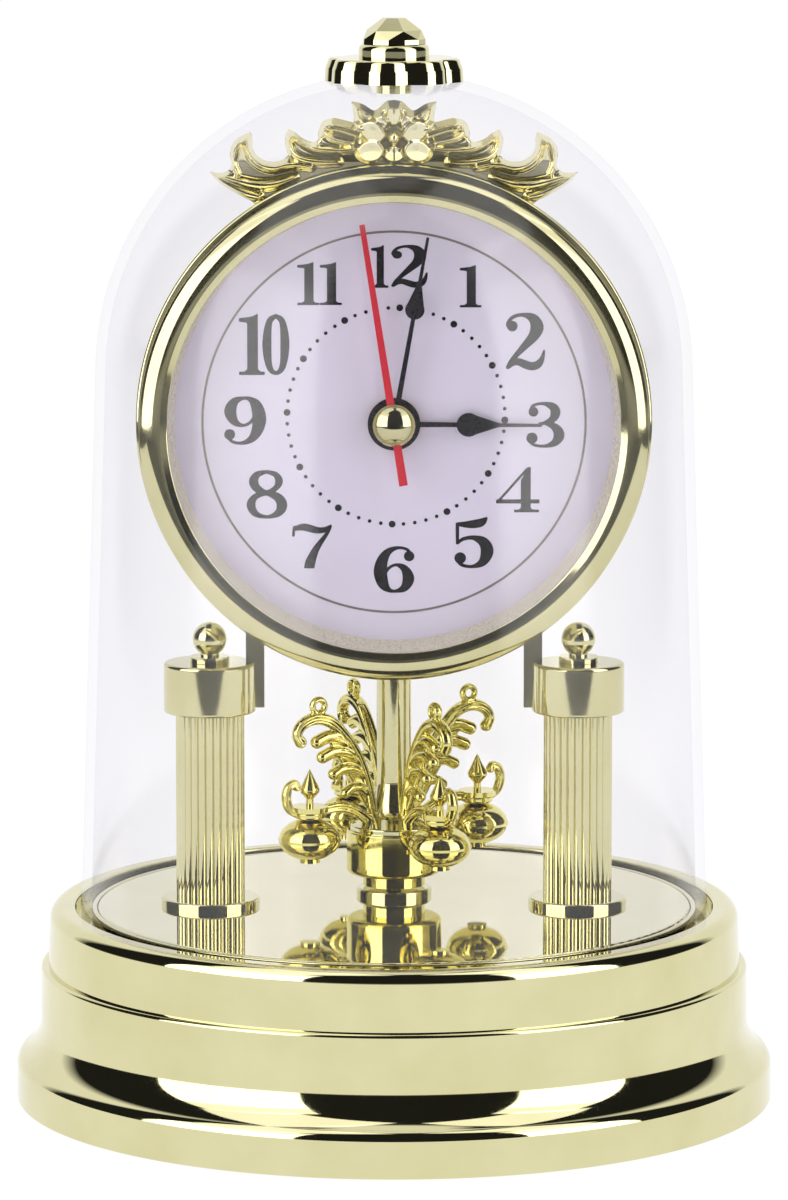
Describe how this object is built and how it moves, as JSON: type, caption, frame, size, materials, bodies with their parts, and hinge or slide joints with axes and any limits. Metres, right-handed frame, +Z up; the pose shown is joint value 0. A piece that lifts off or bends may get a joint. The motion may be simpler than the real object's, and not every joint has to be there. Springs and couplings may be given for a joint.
{
  "type": "domed table clock",
  "caption": "Round-based gold-coloured table clock under a clear dome: leaf-crested dial with hands on reeded pillars above a turning pendulum of scroll arms and balls.",
  "frame": {"origin": "on the table, at the centre of the round base", "axes": "+Z up, -Y out of the dial towards the viewer, +X to the viewer's right"},
  "size_m": [0.12, 0.12, 0.1715],
  "materials": {
    "gold_plating": "bright gold-coloured plating on moulded plastic",
    "gold_hub": "bright yellow-gold plating on moulded plastic",
    "gold_mirror": "mirror-bright gold-coloured plating",
    "dome_plastic": "clear polished plastic",
    "clear_plastic": "clear polished plastic",
    "dial_print": "smooth white printed card",
    "cream_plastic": "smooth moulded cream plastic",
    "black_paint": "semi-gloss black",
    "red_paint": "semi-gloss red",
    "brass": "plain turned",
    "steel": "plain zinc plated",
    "copper": "enamelled copper winding",
    "black_plastic": "fine moulded texture",
    "white_plastic": "smooth moulded",
    "green_board": "lacquered board",
    "cell_wrap": "plain wrapped steel can",
    "rubber": "soft matt pad"
  },
  "bodies": {
    "frame": {"base_shell": "gold_plating", "base_deck": "gold_mirror", "bottom_cover": "black_plastic", "foot_pads": "rubber", "cover_screws": "steel", "guide_cup": "gold_plating", "pillar_left": "gold_plating", "pillar_right": "gold_plating", "capital_left": "gold_plating", "capital_right": "gold_plating", "finial_left": "gold_plating", "finial_right": "gold_plating", "tie_screws": "steel", "case_drum": "gold_plating", "crest": "gold_plating", "bezel": "gold_plating", "lens": "clear_plastic", "dial_ring": "cream_plastic", "dial": "dial_print", "dial_nut": "brass", "case_back": "cream_plastic", "back_screws": "steel", "movement_front": "black_plastic", "movement_housing": "black_plastic", "stator": "steel", "stepper_coil": "copper", "circuit_board": "green_board", "quartz_crystal": "steel", "battery_cell": "cell_wrap", "battery_contacts": "steel", "drive_housing": "black_plastic", "drive_coil": "copper"},
    "dome": {"dome_shell": "dome_plastic", "dome_flower": "gold_plating", "dome_knob": "gold_plating", "dome_screw": "gold_plating"},
    "pendulum": {"pendulum_stem": "gold_hub", "pendulum_hub": "gold_hub", "pendulum_spindle": "steel", "pendulum_magnet": "steel", "scroll_arm_1": "gold_hub", "scroll_arm_2": "gold_hub", "scroll_arm_3": "gold_hub", "scroll_arm_4": "gold_hub", "pendulum_ball_1": "gold_hub", "pendulum_ball_2": "gold_hub", "pendulum_ball_3": "gold_hub", "pendulum_ball_4": "gold_hub"},
    "seconds": {"second_hand": "red_paint", "hand_cap": "gold_plating", "second_wheel": "white_plastic"},
    "minutes": {"minute_hand": "black_paint", "minute_wheel": "white_plastic"},
    "hours": {"hour_hand": "black_paint", "hour_wheel": "white_plastic"},
    "motor_rotor": {"rotor": "white_plastic"},
    "fifth": {"fifth_wheel": "white_plastic"},
    "third": {"third_wheel": "white_plastic"},
    "minute_work": {"minute_work_wheel": "white_plastic"},
    "setter": {"set_knob": "black_plastic"}
  },
  "joints": [
    {"name": "dome_lift", "type": "slide", "parent": "frame", "child": "dome", "axis": [0, 0, 1], "range_m": [0, 0.14]},
    {"name": "pendulum_turn", "type": "hinge", "parent": "frame", "child": "pendulum", "pos_m": [0, 0.008, 0], "axis": [0, 0, 1], "continuous": true},
    {"name": "second_spin", "type": "hinge", "parent": "frame", "child": "seconds", "pos_m": [0, 0, 0.1092], "axis": [0, 1, 0], "continuous": true},
    {"name": "minute_spin", "type": "hinge", "parent": "frame", "child": "minutes", "pos_m": [0, 0, 0.1092], "axis": [0, 1, 0], "continuous": true},
    {"name": "hour_spin", "type": "hinge", "parent": "frame", "child": "hours", "pos_m": [0, 0, 0.1092], "axis": [0, 1, 0], "continuous": true},
    {"name": "third_spin", "type": "hinge", "parent": "frame", "child": "third", "pos_m": [-0.00795, 0, 0.11379], "axis": [0, 1, 0], "continuous": true},
    {"name": "minute_work_spin", "type": "hinge", "parent": "frame", "child": "minute_work", "pos_m": [-0.00122, 0, 0.11609], "axis": [0, 1, 0], "continuous": true},
    {"name": "set_spin", "type": "hinge", "parent": "frame", "child": "setter", "pos_m": [-0.00122, 0, 0.12484], "axis": [0, 1, 0], "continuous": true},
    {"name": "fifth_spin", "type": "hinge", "parent": "frame", "child": "fifth", "pos_m": [0.00712, 0, 0.11518], "axis": [0, 1, 0], "continuous": true},
    {"name": "rotor_spin", "type": "hinge", "parent": "frame", "child": "motor_rotor", "pos_m": [0.01171, 0, 0.12313], "axis": [0, 1, 0], "continuous": true}
  ],
  "couplings": [
    {"joint": "minute_spin", "follows": "second_spin", "ratio": 0.016667},
    {"joint": "hour_spin", "follows": "second_spin", "ratio": 0.0013889},
    {"joint": "third_spin", "follows": "second_spin", "ratio": -0.13333},
    {"joint": "minute_work_spin", "follows": "second_spin", "ratio": -0.0055556},
    {"joint": "set_spin", "follows": "second_spin", "ratio": 0.0083333},
    {"joint": "fifth_spin", "follows": "second_spin", "ratio": -4},
    {"joint": "rotor_spin", "follows": "second_spin", "ratio": 30}
  ]
}
